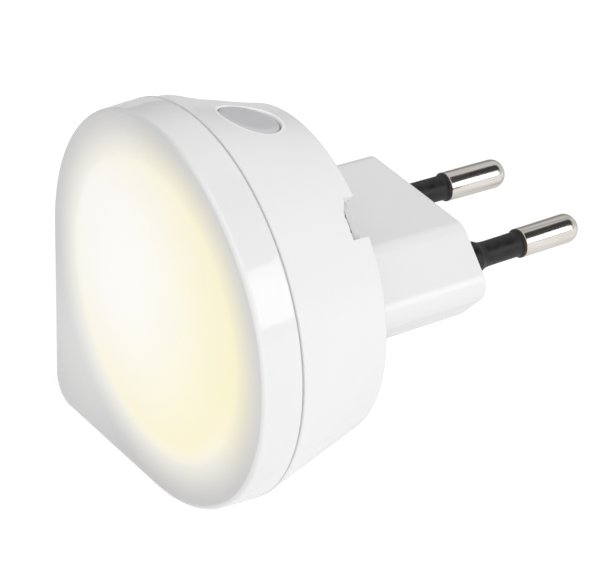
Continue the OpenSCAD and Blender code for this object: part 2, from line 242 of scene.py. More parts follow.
def make_housing():
    front = SEAM_D - GAP / 2
    wall = 1.6
    rf = cone_r(front)
    prof = [(25.45, 1.8, front)]
    for i in range(0, 5):
        t = math.radians(22.5 * i)
        prof.append((rf - 0.2 + 0.2 * math.sin(t), CORNER_R - 0.2 + 0.2 * math.sin(t), front - 0.2 * (1 - math.cos(t))))
    ds = list(np.linspace(33.65, 20.55, 27)) + [20.15, 19.75, 19.43]
    outer_at = {}
    for d in ds:
        outer_at[len(prof)] = d
        prof.append((cone_r(d), CORNER_R, d))
    re = cone_r(19.43)
    for i in range(1, 6):
        t = math.radians(90 * i / 5)
        prof.append((re - 0.1 * math.sin(t) - 0.34 * (1 - math.cos(t)), CORNER_R - 0.3 * (1 - math.cos(t)), 19.43 - 0.38 * math.sin(t)))
    prof.append((21.1, 2.2, 19.05))
    prof.append((20.88, 2.05, 19.11))
    prof.append((20.8, 1.8, 19.23))
    prof.append((20.8, 1.8, 19.85))
    seat = len(prof)
    prof.append((20.8, 1.8, 20.55))
    prof.append((20.8, 1.8, 21.15))
    room_at = {}
    for r, rc, d, room in ((20.8, 1.8, 21.16, 0.9), (20.8, 1.8, 21.35, 0.9), (19.8, 1.4, 21.35, 1.9), (19.8, 1.4, 22.35, 1.9)):
        room_at[len(prof)] = room
        prof.append((r, rc, d))
    prof.append((cone_r(22.35) - wall, 1.8, 22.35))
    inner_ds = list(np.linspace(23.05, 33.65, 22))
    inner_first = len(prof)
    for d in inner_ds:
        prof.append((cone_r(d) - wall, 1.8, d))

    def post_room(room):
        """Clearance in the ledge for the two posts of the board."""
        def at(phi, d):
            off = min(abs(phi - 343.2), abs(phi - 196.8))
            t = max(0.0, min(1.0, (11.5 - off) / 2.5))
            return room * t
        return at

    shapes = {i: swell for i in outer_at}
    shapes.update({i: post_room(room) for i, room in room_at.items()})
    rings = [ring(r, rc, d, swell=shapes.get(i)) for i, (r, rc, d) in enumerate(prof)]
    n, m = COLUMNS, len(rings)
    verts = [p for rr in rings for p in rr]
    idx = lambda i, j: (i % m) * n + (j % n)

    def phi_of(j):
        return -90 + 270 * j / N_ROUND

    # columns of the window's patch and of the notch
    j0 = round((90 - 19 + 90) / 270 * N_ROUND)
    j1 = round((90 + 19 + 90) / 270 * N_ROUND)
    oi = sorted(outer_at, key=lambda i: outer_at[i])
    o_lo = min(i for i in outer_at if outer_at[i] <= 31.9)
    o_hi = max(i for i in outer_at if outer_at[i] >= 20.5)
    in_lo = min(inner_first + k for k, d in enumerate(inner_ds) if d >= 22.95)
    in_hi = max(inner_first + k for k, d in enumerate(inner_ds) if d <= 31.9)
    nj0 = round((37.9 + 90) / 270 * N_ROUND)
    nj1 = round((51.9 + 90) / 270 * N_ROUND)
    notch_i = max(i for i in outer_at if abs(outer_at[i] - 22.06) < 0.01)
    # the notch is deepest low down; its floor rises towards the upper corner
    for j in range(nj0, nj1 + 1):
        phi = math.radians(phi_of(j))
        floor_d = 21.95 - 1.0 * max(0.0, min(1.0, (phi_of(j) - 46.4) / 4.4))

        def move(i, d, r=None):
            r = cone_r(d) if r is None else r
            verts[idx(i, j)] = (r * math.cos(phi), -d, r * math.sin(phi) + HEAD_Z)

        for k in range(6):
            move(notch_i - k, outer_at[notch_i - k] - (22.06 - floor_d) * (1 - k / 6))
        for i in outer_at:
            if i > notch_i and outer_at[i] > 20.2:
                move(i, 20.15 + (outer_at[i] - 20.15) * (floor_d - 20.15) / (22.06 - 20.15))
        move(seat, floor_d, 20.8)
        if floor_d > 21.35:
            move(seat + 1, 21.35 + (floor_d - 21.35) * 0.66, 20.8)
            move(seat + 2, 21.35 + (floor_d - 21.35) * 0.33, 20.8)
    skip = set()
    for i in range(o_lo, o_hi):
        for j in range(j0, j1):
            skip.add((i, j))
    for i in range(in_lo, in_hi):
        for j in range(j0, j1):
            skip.add((i, j))
    for i in range(notch_i, seat):
        for j in range(nj0, nj1):
            skip.add((i, j))
    faces = []
    for i in range(m):
        for j in range(n):
            if (i, j) not in skip:
                faces.append((idx(i, j), idx(i, j + 1), idx(i + 1, j + 1), idx(i + 1, j)))
    # notch: floor and two side walls
    for j in range(nj0, nj1):
        faces.append((idx(notch_i, j), idx(notch_i, j + 1), idx(seat, j + 1), idx(seat, j)))
    for j in (nj0, nj1):
        faces.append(tuple(idx(i, j) for i in range(notch_i, seat + 1)))

    # window: a round hole with a soft lip, joined to a rectangle left out of each skin
    c, u, v, nn = window_frame()

    def boundary(lo, hi):
        loop = [(lo, j) for j in range(j0, j1)] + [(i, j1) for i in range(lo, hi)]
        loop += [(hi, j) for j in range(j1, j0, -1)] + [(i, j0) for i in range(hi, lo, -1)]
        return loop

    def local(i, j):
        w = Vector(verts[idx(i, j)]) - c
        return w.dot(u), w.dot(v)

    def patch(loop, inset, lip):
        """Rings of new vertices from the loop to the hole's circle; returns the last ring."""
        prev = [idx(i, j) for i, j in loop]
        base = [local(i, j) for i, j in loop]
        angle = [math.atan2(q, p) for p, q in base]
        steps = (0.3, 0.55, 0.75, 0.9, 1.0)
        edge_r = WIN_R + 0.05 + (0.42 if lip else 0.0)
        for s in steps:
            cur = []
            for (p, q), a in zip(base, angle):
                e = (edge_r * math.cos(a), edge_r * math.sin(a))
                pp, qq = p + (e[0] - p) * s, q + (e[1] - q) * s
                w, h = on_cone(pp, qq, inset)
                verts.append(tuple(w))
                cur.append(len(verts) - 1)
            stitch(prev, cur)
            prev = cur
        return prev, angle

    def stitch(a, b):
        k = len(a)
        for t in range(k):
            faces.append((a[t], a[(t + 1) % k], b[(t + 1) % k], b[t]))

    outer_loop, angles = patch(boundary(o_lo, o_hi), 0.0, True)
    # soft lip: the surface turns down into the hole
    prev = outer_loop
    for i in range(1, 7):
        t = math.radians(15 * i)
        r = WIN_R + 0.05 + 0.42 - 0.42 * math.sin(t)
        cur = []
        for a in angles:
            w, h = on_cone((WIN_R + 0.47) * math.cos(a), (WIN_R + 0.47) * math.sin(a), 0.0)
            lift = 0.10 * math.sin(math.pi * i / 6 * 0.9)
            h2 = h + lift - 0.30 * (1 - math.cos(t))
            verts.append(tuple(c + u * (r * math.cos(a)) + v * (r * math.sin(a)) + nn * h2))
            cur.append(len(verts) - 1)
        stitch(prev, cur)
        prev = cur
    for depth in (-0.9, -1.4):
        cur = []
        for a in angles:
            r = WIN_R + 0.05
            verts.append(tuple(c + u * (r * math.cos(a)) + v * (r * math.sin(a)) + nn * depth))
            cur.append(len(verts) - 1)
        stitch(prev, cur)
        prev = cur
    # inner skin: its loop is resampled so that both sides meet vertex for vertex
    k_out = len(prev)
    inner_boundary = boundary(in_lo, in_hi)
    base = [local(i, j) for i, j in inner_boundary]
    ring_in = []
    for a in angles:
        r = WIN_R + 0.05
        w, h = on_cone(r * math.cos(a), r * math.sin(a), 1.6 * 1.0)
        verts.append(tuple(w))
        ring_in.append(len(verts) - 1)
    stitch(prev, ring_in)
    bm_loop = [idx(i, j) for i, j in inner_boundary]
    fill_pairs = (bm_loop, ring_in)
    me = bpy.data.meshes.new("housing_moulding")
    me.from_pydata([tuple(float(t) * MM for t in p) for p in verts], [], faces)
    ob = bpy.data.objects.new("housing_moulding", me)
    bpy.context.scene.collection.objects.link(ob)
    bm = bmesh.new()
    bm.from_mesh(me)
    bm.verts.ensure_lookup_table()
    loops = []
    for loop in fill_pairs:
        edges = []
        for t in range(len(loop)):
            e = bm.edges.get((bm.verts[loop[t]], bm.verts[loop[(t + 1) % len(loop)]]))
            if e is None:
                e = bm.edges.new((bm.verts[loop[t]], bm.verts[loop[(t + 1) % len(loop)]]))
            edges.append(e)
        loops += edges
    bmesh.ops.bridge_loops(bm, edges=loops)
    bmesh.ops.recalc_face_normals(bm, faces=bm.faces)
    # break the notch's edges
    lo_phi, hi_phi = phi_of(nj0), phi_of(nj1)
    chosen = []
    for e in bm.edges:
        if len(e.link_faces) != 2 or e.calc_face_angle(0) < math.radians(40):
            continue
        mid = (e.verts[0].co + e.verts[1].co) / 2 / MM
        x, z, d = mid.x, mid.z - HEAD_Z, -mid.y
        ph = math.degrees(math.atan2(z, x))
        r = math.hypot(x, z)
        if lo_phi - 0.3 < ph < hi_phi + 0.3 and 20.9 < r and d < 22.3:
            chosen.append(e)
    if chosen:
        bmesh.ops.bevel(bm, geom=chosen, offset=0.11 * MM, segments=2, profile=0.5, affect="EDGES", clamp_overlap=True)
    bmesh.ops.delete(bm, geom=[vert for vert in bm.verts if not vert.link_faces], context="VERTS")
    bmesh.ops.recalc_face_normals(bm, faces=bm.faces)
    bm.to_mesh(me)
    bm.free()
    me.validate()
    shade(ob, 32)
    return ob


# ---- plug ------------------------------------------------------------------

def hex_radius(theta, w, h, r):
    """Distance from the axis to the plug's rounded six-sided outline at each angle."""
    hw, hh = w - r, h - r
    t = hw - hh
    corners = [(hw, 0), (t, hh), (-t, hh), (-hw, 0), (-t, -hh), (t, -hh)]
    out = []
    for a in theta:
        cx, cz = math.cos(a), math.sin(a)
        lo, hi = 0.0, w * 1.3
        for _ in range(44):
            mid = (lo + hi) / 2
            x, z = mid * cx, mid * cz
            inside, best = True, 1e9
            for k in range(6):
                x0, z0 = corners[k]
                x1, z1 = corners[(k + 1) % 6]
                ex, ez = x1 - x0, z1 - z0
                wx, wz = x - x0, z - z0
                if ex * wz - ez * wx < 0:
                    inside = False
                s = max(0.0, min(1.0, (wx * ex + wz * ez) / (ex * ex + ez * ez)))
                best = min(best, math.hypot(wx - s * ex, wz - s * ez))
            sd = (-best if inside else best) - r
            if sd > 0:
                hi = mid
            else:
                lo = mid
        out.append((lo + hi) / 2)
    return out


def plug_angles():
    """Angles round the plug, dense where its outline turns."""
    out = set()
    for k in range(360):
        out.add(round(k * 1.0, 3))
    for centre, half in ((0, 10), (180, 10), (28, 12), (152, 12), (208, 12), (332, 12)):
        k = -half
        while k <= half:
            out.add(round((centre + k) % 360, 3))
            k += 0.5
    return [math.radians(a) for a in sorted(out)]


PIN_BASE, PIN_TIPS, PIN_LEN, SLEEVE_LEN = 18.4, 17.4, 19.4, 10.3
TILT = math.asin((PIN_BASE - PIN_TIPS) / 2 / PIN_LEN)


def pin_matrix(side):
    return Matrix.Translation((side * PIN_BASE / 2, 0, 0)) @ Matrix.Rotation(side * TILT, 4, "Z")


def make_plug():
    theta = plug_angles()
    w, h, r, fr = 16.8, 6.9, 2.85, 0.4

    def section(inset, grow, d):
        rad = hex_radius(theta, w - inset + grow, h - inset + grow, max(0.4, r - inset + 0.6 * grow))
        return [(rr * math.cos(a), -d, rr * math.sin(a)) for a, rr in zip(theta, rad)]

    rings = []
    flat = section(fr, 0, 0)
    for k in (0.05, 0.3, 0.6, 0.85):
        rings.append([(x * k, y, z * k) for x, y, z in flat])
    for i in range(0, 9):
        t = math.radians(90 * i / 8)
        rings.append(section(fr * (1 - math.sin(t)), 0, fr * (1 - math.cos(t))))
    for d in (1, 2.5, 4, 7, 10, 13, 16, 18, 18.95):
        rings.append(section(0, 0.35 * d / 19.65, d))
    for i in range(1, 5):
        t = math.radians(90 * i / 4)
        rings.append(section(-0.45 * (1 - math.cos(t)), 0.35, 18.95 + 0.5 * math.sin(t)))

    def plate(rr0, rc, d, k=1.0, slot=None):
        out = []
        for th in theta:
            rr = slot if slot and 41.2 < math.degrees(th) < 47.3 else rr0
            a = rr - rc
            cx, cz = math.cos(th), math.sin(th)
            # the plate's outline about the head's axis, met by a ray from the plug's axis
            lo, hi = 0.0, rr * 1.6
            for _ in range(40):
                mid = (lo + hi) / 2
                x, z = mid * cx, mid * cz - HEAD_Z
                inside = math.hypot(x, z) <= rr
                if not inside and x <= 0 and z <= 0 and x >= -rr and z >= -rr:
                    inside = not (x < -a and z < -a and math.hypot(x + a, z + a) > rc)
                if inside:
                    lo = mid
                else:
                    hi = mid
            out.append((lo * cx * k, -d, lo * cz * k))
        return out

    rings.append(plate(20.35, 1.5, 19.45))
    rings.append(plate(20.52, 1.6, 19.51))
    rings.append(plate(20.6, 1.7, 19.65))
    rings.append(plate(20.6, 1.7, 20.37))
    rings.append(plate(20.6, 1.7, 20.28, slot=19.7))
    rings.append(plate(20.6, 1.7, 20.63, slot=19.7))
    rings.append(plate(20.6, 1.7, 20.64))
    rings.append(plate(20.6, 1.7, 21.3))
    rings.append(plate(20.0, 1.4, 21.3, k=0.95))
    rings.append(plate(20.0, 1.4, 21.3, k=0.5))
    rings.append(plate(20.0, 1.4, 21.3, k=0.04))
    body = loft(rings, first_point=(0, 0, 0), last_point=(0, -21.3, 0))
    parts = [body]
    # tongue in the pry notch
    a = math.radians(43.6)
    tv, tf = rounded_box((1.1, 0.55, 1.6), 0.14)
    m = Matrix.Translation((20.55 * math.cos(a), -20.93, HEAD_Z + 20.55 * math.sin(a))) @ Matrix.Rotation(-a, 4, "Y")
    parts.append((placed(tv, m), tf))
    # snap hooks and board posts on the inner side
    for ang in (40, 140, 270):
        a = math.radians(ang)
        for size, rad, d in (((1.4, 2.2, 4.0), 18.9, 22.35), ((0.8, 0.95, 4.0), 19.9, 22.92)):
            tv, tf = rounded_box(size, 0.12)
            m = Matrix.Translation((rad * math.cos(a), -d, HEAD_Z + rad * math.sin(a))) @ Matrix.Rotation(-a, 4, "Y")
            parts.append((placed(tv, m), tf))
    for x, z in ((-18.2, -5.5), (18.2, -5.5)):
        v, f = lathe([(1.03, -30.85), (2.35, -30.85), (2.5, -30.7), (2.5, -21.25), (1.03, -21.25)], 48)
        parts.append((placed(v, Matrix.Translation((x, 0, z + HEAD_Z))), f))
    return new_object("plug_moulding", *joined(*parts), 32)


def make_pin(side, name):
    e, k = 1.78, SLEEVE_LEN
    prof = [(1.3, k - 0.6), (1.3, k - 0.01), (1.88, k - 0.01), (1.95, k + 0.02), (1.99, k + 0.09), (2.0, k + 0.18), (2.0, 12.0), (2.0, 14.5), (2.0, 16.5), (2.0, PIN_LEN - e)]
    for i in range(1, 15):
        t = math.radians(90 * i / 14)
        prof.append((2.0 - e + e * math.cos(t), PIN_LEN - e + e * math.sin(t)))
    prof.append((0, PIN_LEN))
    v, f = lathe(prof, 128)
    # neck through the sleeve and tail inside the plug
    tail = [(1.3, k - 0.6), (1.3, -3.1), (1.5, -3.1), (1.5, -8), (2.2, -8), (2.2, -10), (1.5, -10), (1.5, -21.95), (0.8, -21.95), (0.8, -18.5), (0, -18.5)]
    tv, tf = lathe(tail, 128)
    v, f = joined((v, f), (tv, tf))
    return new_object(name, placed(v, pin_matrix(side)), f, 35)


def make_sleeve(side, name):
    k = SLEEVE_LEN
    prof = [(1.34, -2.6), (1.7, -2.6), (1.7, -0.3), (1.95, -0.25), (1.95, 0.3), (2.16, 0.3), (2.22, 0.36), (2.22, 1.2), (2.21, 2.4), (2.20, 3.0), (2.14, 3.25), (2.02, 3.45), (1.90, 3.7), (1.80, 4.05), (1.74, 4.45), (1.71, 4.9), (1.70, 5.5)]
    prof += [(1.695, 6.5), (1.70, 8.0), (1.705, k - 0.9)]
    for i in range(1, 8):
        t = math.radians(90 * i / 7)
        prof.append((1.705 + 0.23 * (1 - math.cos(t)), k - 0.85 + 0.42 * math.sin(t)))
    prof += [(1.97, k - 0.38), (1.99, k - 0.3), (1.99, k - 0.17), (1.96, k - 0.09), (1.88, k - 0.04), (1.34, k - 0.04), (1.34, -2.6)]
    v, f = lathe(prof, 128)
    return new_object(name, placed(v, pin_matrix(side)), f, 40)


def make_window():
    c, u, v, n = window_frame()
    top = -WIN_SINK
    e = WIN_R - 0.03
    prof = [(0, top), (1.4, top), (2.6, top - 0.01), (3.2, top - 0.025), (e - 0.6, top - 0.06), (e - 0.38, top - 0.12), (e - 0.2, top - 0.21), (e - 0.08, top - 0.33), (e, top - 0.5), (e, -1.75), (4.9, -1.75), (4.9, -2.6), (0, -2.6)]
    vv, ff = lathe(prof, 128)
    m = Matrix(((u.x, n.x, v.x, c.x), (u.y, n.y, v.y, c.y), (u.z, n.z, v.z, c.z), (0, 0, 0, 1)))
    return new_object("window_lens", placed(vv, m), ff, 35)


# ---- materials -------------------------------------------------------------

class Nodes:
    """Short way to build a node material."""

    def __init__(self, name):
        self.mat = bpy.data.materials.new(name)
        self.mat.use_nodes = True
        self.tree = self.mat.node_tree
        self.tree.nodes.clear()
        self.out = self.tree.nodes.new("ShaderNodeOutputMaterial")
        self.bsdf = self.tree.nodes.new("ShaderNodeBsdfPrincipled")
        self.tree.links.new(self.bsdf.outputs[0], self.out.inputs[0])
        self.coord = self.tree.nodes.new("ShaderNodeTexCoord")

    def add(self, kind, inputs=None, **props):
        node = self.tree.nodes.new(kind)
        for k, val in props.items():
            setattr(node, k, val)
        for k, val in (inputs or {}).items():
            self.put(node.inputs[k], val)
        return node

    def put(self, socket, val):
        if isinstance(val, bpy.types.NodeSocket):
            self.tree.links.new(val, socket)
        else:
            socket.default_value = val

    def math(self, op, a, b=None, c=None, clamp=False):
        node = self.add("ShaderNodeMath", operation=op, use_clamp=clamp)
        for i, val in enumerate((a, b, c)):
            if val is not None:
                self.put(node.inputs[i], val)
        return node.outputs[0]

    def noise(self, scale, detail=3.0, rough=0.55, vector=None, stretch=None):
        vec = vector or self.coord.outputs["Object"]
        if stretch is not None:
            vec = self.add("ShaderNodeMapping", {"Vector": vec, "Scale": stretch}).outputs[0]
        return self.add("ShaderNodeTexNoise", {"Vector": vec, "Scale": scale, "Detail": detail, "Roughness": rough}).outputs[0]

    def remap(self, val, a, b, c, d, smooth=False):
        node = self.add("ShaderNodeMapRange", {"Value": val, "From Min": a, "From Max": b, "To Min": c, "To Max": d})
        node.interpolation_type = "SMOOTHSTEP" if smooth else "LINEAR"
        return node.outputs[0]

    def mix(self, fac, a, b, blend="MIX"):
        node = self.add("ShaderNodeMix", data_type="RGBA", blend_type=blend)
        self.put(node.inputs[0], fac)
        self.put(node.inputs[6], a)
        self.put(node.inputs[7], b)
        return node.outputs[2]

    def axis(self, which):
        sep = self.add("ShaderNodeSeparateXYZ", {"Vector": self.coord.outputs["Object"]})
        return sep.outputs[which]

    def bump(self, height, distance, strength=1.0):
        node = self.add("ShaderNodeBump", {"Height": height, "Distance": distance, "Strength": strength})
        self.put(self.bsdf.inputs["Normal"], node.outputs[0])
        return node

    def set(self, **kw):
        names = {"color": "Base Color", "rough": "Roughness", "metal": "Metallic", "ior": "IOR", "coat": "Coat Weight", "coat_rough": "Coat Roughness", "spec": "Specular IOR Level", "emit": "Emission Color", "emit_s": "Emission Strength", "sss": "Subsurface Weight", "sss_r": "Subsurface Radius", "sss_s": "Subsurface Scale"}
        for k, val in kw.items():
            self.put(self.bsdf.inputs[names[k]], val)


def rgba(r, g, b):
    return (r, g, b, 1.0)


def moulded(name, color, rough=0.28, vary=0.02, grain=420.0, grain_depth=3.0e-6, spec=0.5, cloud=120.0):
    """Moulded plastic: faint flow variation in tone, uneven gloss and the slight waviness of a polished mould."""
    m = Nodes(name)
    flow = m.noise(cloud, 4.0, 0.6)
    tone = m.remap(flow, 0.3, 0.7, 1 - vary, 1 + vary * 0.4)
    col = m.mix(1.0, rgba(*color), m.add("ShaderNodeCombineColor", {0: tone, 1: tone, 2: tone}).outputs[0], "MULTIPLY")
    smudge = m.noise(cloud * 3.1, 5.0, 0.65)
    m.set(color=col, rough=m.remap(smudge, 0.3, 0.75, rough - 0.03, rough + 0.04), spec=spec)
    m.bump(m.noise(grain, 1.0, 0.4), grain_depth)
    return m


def cover_material():
    """Opal cover, lit from inside: warm towards its edge, cooler round the middle of the light; with painted glow over
    the corner, a painted highlight on the rim and painted shade on the face.
    """
    m = moulded("opal_cover", (0.802, 0.798, 0.80), rough=0.09, vary=0.008)
    x, y, z = m.axis(0), m.axis(1), m.axis(2)
    zz = m.math("SUBTRACT", z, HEAD_Z * MM)
    rad = m.math("SQRT", m.math("ADD", m.math("MULTIPLY", x, x), m.math("MULTIPLY", zz, zz)))
    rad = m.math("ADD", rad, m.math("MULTIPLY", m.math("SUBTRACT", m.noise(90.0, 2.0), 0.5), 0.0006))
    up = m.math("SUBTRACT", zz, 0.0003)
    rise = m.math("SQRT", m.math("ADD", m.math("MULTIPLY", x, x), m.math("MULTIPLY", up, up)))
    glow = m.math("MULTIPLY", m.remap(rise, 0.0190, 0.0270, 0.98, 0.0, True), m.remap(rad, 0.004, 0.020, 1.0, 0.90, True))
    # soft shadow of the reflector's edge
    glow = m.math("ADD", glow, m.remap(rad, 0.0204, 0.0213, 0.06, 0.0, True))
    face = m.remap(y, -0.04005, -0.03965, 1.0, 0.0, True)
    ox, oz = m.math("ADD", x, 0.010), m.math("SUBTRACT", zz, 0.004)
    far = m.math("SQRT", m.math("ADD", m.math("MULTIPLY", ox, ox), m.math("MULTIPLY", oz, oz)))
    near = m.remap(far, 0.004, 0.032, 1.0, 0.0, True)
    right = m.math("ADD", m.math("MULTIPLY", x, 0.87), m.math("MULTIPLY", zz, 0.5))
    pale = m.math("MULTIPLY", m.remap(rad, 0.0165, 0.0225, 0.0, 0.75, True), m.remap(right, 0.004, 0.017, 1.0, 0.0, True))
    near = m.math("MAXIMUM", near, pale)
    tint = m.mix(near, rgba(0.365, 0.31, 0.035), rgba(0.365, 0.36, 0.325))
    # painted glow: extra light painted on the face over the squared corner and towards the right, fading where the glow
    # is strong
    cx, cz = m.math("ADD", x, 0.019), m.math("ADD", zz, 0.015)
    spill = m.remap(m.math("SQRT", m.math("ADD", m.math("MULTIPLY", cx, cx), m.math("MULTIPLY", cz, cz))), 0.002, 0.016, 0.10, 0.0, True)
    spill = m.math("ADD", spill, m.remap(right, 0.012, 0.026, 0.0, 0.05, True))
    spill = m.math("MULTIPLY", spill, m.math("SUBTRACT", 1.0, m.math("MULTIPLY", glow, 0.95)))
    # painted highlight: extra glow painted on the tight rim, growing towards the right, so the rim looks brighter than
    # the face
    edge = m.math("MULTIPLY", m.remap(rad, 0.0262, 0.0265, 0.0, 1.0, True), m.remap(x, 0.002, 0.014, 0.0, 0.10, True))
    spill = m.math("ADD", spill, edge)
    tint = m.mix(glow, rgba(0.0, 0.0, 0.0), tint)
    tint = m.mix(1.0, tint, m.add("ShaderNodeCombineColor", {0: spill, 1: spill, 2: m.math("MULTIPLY", spill, 0.97)}).outputs[0], "ADD")
    tone = m.bsdf.inputs["Base Color"].links[0].from_socket
    # painted shade: the face's base colour is darkened a little, and more towards the lower right
    low = m.math("SUBTRACT", m.math("MULTIPLY", x, 0.42), m.math("MULTIPLY", zz, 0.91))
    shade_by = m.math("ADD", 0.085, m.remap(low, 0.016, 0.026, 0.0, 0.08, True))
    m.set(color=m.mix(m.math("MULTIPLY", face, shade_by), tone, rgba(0, 0, 0)), emit=tint, emit_s=face)
    return m.mat


def housing_material():
    m = moulded("white_moulding", (0.803, 0.798, 0.80), rough=0.19, vary=0.01)
    # painted highlight: the base colour is lightened in a thin ring round the window's opening, standing in for light
    # caught by its lip
    c, u, v, n = window_frame()
    off = m.add("ShaderNodeVectorMath", {0: m.coord.outputs["Object"], 1: (c.x * MM, c.y * MM, c.z * MM)}, operation="SUBTRACT").outputs[0]
    along = m.add("ShaderNodeVectorMath", {0: off, 1: (n.x, n.y, n.z)}, operation="DOT_PRODUCT").outputs["Value"]
    dist = m.add("ShaderNodeVectorMath", {0: off}, operation="LENGTH").outputs["Value"]
    flat = m.math("SQRT", m.math("MAXIMUM", 0.0, m.math("SUBTRACT", m.math("MULTIPLY", dist, dist), m.math("MULTIPLY", along, along))))
    lip = m.math("MULTIPLY", m.remap(flat, (WIN_R + 0.30) * MM, (WIN_R + 0.55) * MM, 1.0, 0.0, True), m.remap(along, -0.0006, -0.0002, 0.0, 1.0, True))
    tone = m.bsdf.inputs["Base Color"].links[0].from_socket
    m.set(color=m.mix(m.math("MULTIPLY", lip, 0.85), tone, rgba(0.97, 0.97, 0.97)))
    return m.mat


def plug_material():
    m = moulded("white_plug", (0.793, 0.787, 0.791), rough=0.22, vary=0.012)
    # painted shade: the back plate's edge is darkened where the pry notch leaves it open
    a = math.radians(46.0)
    spot = (20.6 * math.cos(a) * MM, -20.6 * MM, (HEAD_Z + 20.6 * math.sin(a)) * MM)
    off = m.add("ShaderNodeVectorMath", {0: m.coord.outputs["Object"], 1: spot}, operation="SUBTRACT").outputs[0]
    dist = m.add("ShaderNodeVectorMath", {0: off}, operation="LENGTH").outputs["Value"]
    x, zz = m.axis(0), m.math("SUBTRACT", m.axis(2), HEAD_Z * MM)
    rad = m.math("SQRT", m.math("ADD", m.math("MULTIPLY", x, x), m.math("MULTIPLY", zz, zz)))
    painted_notch_shade = m.math("MULTIPLY", m.remap(dist, 0.0030, 0.0036, 1.0, 0.0, True), m.remap(rad, 0.0201, 0.0204, 0.0, 1.0, True))
    tone = m.bsdf.inputs["Base Color"].links[0].from_socket
    m.set(color=m.mix(m.math("MULTIPLY", painted_notch_shade, 0.18), tone, rgba(0.05, 0.04, 0.035)))
    return m.mat


def window_material():
    m = moulded("grey_window", (0.58, 0.57, 0.595), rough=0.22, vary=0.03, cloud=300.0)
    return m.mat


def nickel_material():
    m = Nodes("nickel_plating")
    along = m.noise(420.0, 3.0, 0.6, stretch=(6.0, 0.5, 6.0))
    fine = m.noise(2600.0, 2.0, 0.5, stretch=(1.0, 0.08, 1.0))
    col = m.mix(m.remap(along, 0.35, 0.7, 0.0, 1.0), rgba(0.74, 0.71, 0.67), rgba(0.66, 0.62, 0.57))
    scores = m.noise(900.0, 2.0, 0.5, stretch=(1.0, 0.02, 1.0))
    col = m.mix(m.remap(scores, 0.60, 0.68, 0.0, 0.45, True), col, rgba(0.30, 0.27, 0.23))
    m.set(color=col, metal=1.0, rough=m.remap(along, 0.3, 0.75, 0.10, 0.22))
    m.bump(m.math("ADD", m.math("MULTIPLY", along, 0.6), m.math("MULTIPLY", fine, 0.4)), 4.0e-6)
    return m.mat


def sleeve_material():
    m = Nodes("sleeve_black")
    blot = m.noise(700.0, 4.0, 0.6)
    col = m.mix(m.remap(blot, 0.35, 0.7, 0.0, 1.0), rgba(0.006, 0.006, 0.007), rgba(0.022, 0.022, 0.024))
    y = m.axis(1)
    ringed = m.math("MULTIPLY", m.remap(y, 0.01008, 0.01018, 0.0, 1.0, True), 0.6)
    col = m.mix(ringed, col, rgba(0.10, 0.02, 0.015))
    m.set(color=col, rough=m.remap(blot, 0.3, 0.7, 0.36, 0.55), spec=0.32)
    m.bump(m.math("ADD", m.noise(900.0, 3.0, 0.55), m.math("MULTIPLY", m.noise(9000.0, 2.0), 0.3)), 2.5e-5)
    return m.mat


def board_material():
    """Green laminate with a lighter solder-mask pattern of tracks and a woven glass texture."""
    m = Nodes("board_laminate")
    vec = m.coord.outputs["Object"]
    weave = m.add("ShaderNodeTexWave", {"Vector": vec, "Scale": 900.0, "Distortion": 0.4}, bands_direction="X").outputs[1]
    weave2 = m.add("ShaderNodeTexWave", {"Vector": vec, "Scale": 900.0, "Distortion": 0.4}, bands_direction="Z").outputs[1]
    both = m.math("MULTIPLY", m.math("ADD", weave, weave2), 0.5)
    cells = m.add("ShaderNodeTexVoronoi", {"Vector": vec, "Scale": 260.0}, distance="MANHATTAN", feature="F1").outputs["Distance"]
    tracks = m.remap(cells, 0.42, 0.48, 0.0, 1.0)
    col = m.mix(tracks, rgba(0.02, 0.16, 0.06), rgba(0.04, 0.26, 0.10))
    col = m.mix(m.math("MULTIPLY", both, 0.25), col, rgba(0.06, 0.30, 0.12))
    m.set(color=col, rough=m.remap(both, 0, 1, 0.32, 0.5))
    m.bump(m.math("ADD", tracks, m.math("MULTIPLY", both, 0.2)), 2.0e-5)
    return m.mat


def steel_material():
    m = Nodes("zinc_steel")
    scratch = m.noise(2200.0, 3.0, 0.6, stretch=(1.0, 0.15, 1.0))
    col = m.mix(scratch, rgba(0.55, 0.56, 0.58), rgba(0.70, 0.70, 0.72))
    m.set(color=col, metal=1.0, rough=m.remap(scratch, 0.3, 0.7, 0.28, 0.45))
    m.bump(scratch, 5.0e-6)
    return m.mat


def coated(name, color, rough, bands=None, axis=0, centre=0.0, pitch=0.9e-3):
    """Dipped or wrapped component body, with painted rings across its axis where it has them."""
    m = Nodes(name)
    spots = m.noise(900.0, 4.0, 0.6)
    col = m.mix(m.remap(spots, 0.3, 0.75, 0.0, 0.35), rgba(*color), rgba(*(c * 0.72 for c in color)))
    if bands:
        pos = m.axis(axis)
        for k, tint in enumerate(bands):
            at = centre + (k - (len(bands) - 1) / 2) * pitch
            off = m.math("ABSOLUTE", m.math("SUBTRACT", pos, at))
            col = m.mix(m.remap(off, pitch * 0.22, pitch * 0.30, 1.0, 0.0), col, rgba(*tint))
    m.set(color=col, rough=m.remap(spots, 0.3, 0.7, rough - 0.06, rough + 0.08))
    m.bump(m.noise(2400.0, 3.0), 8.0e-6)
    return m.mat


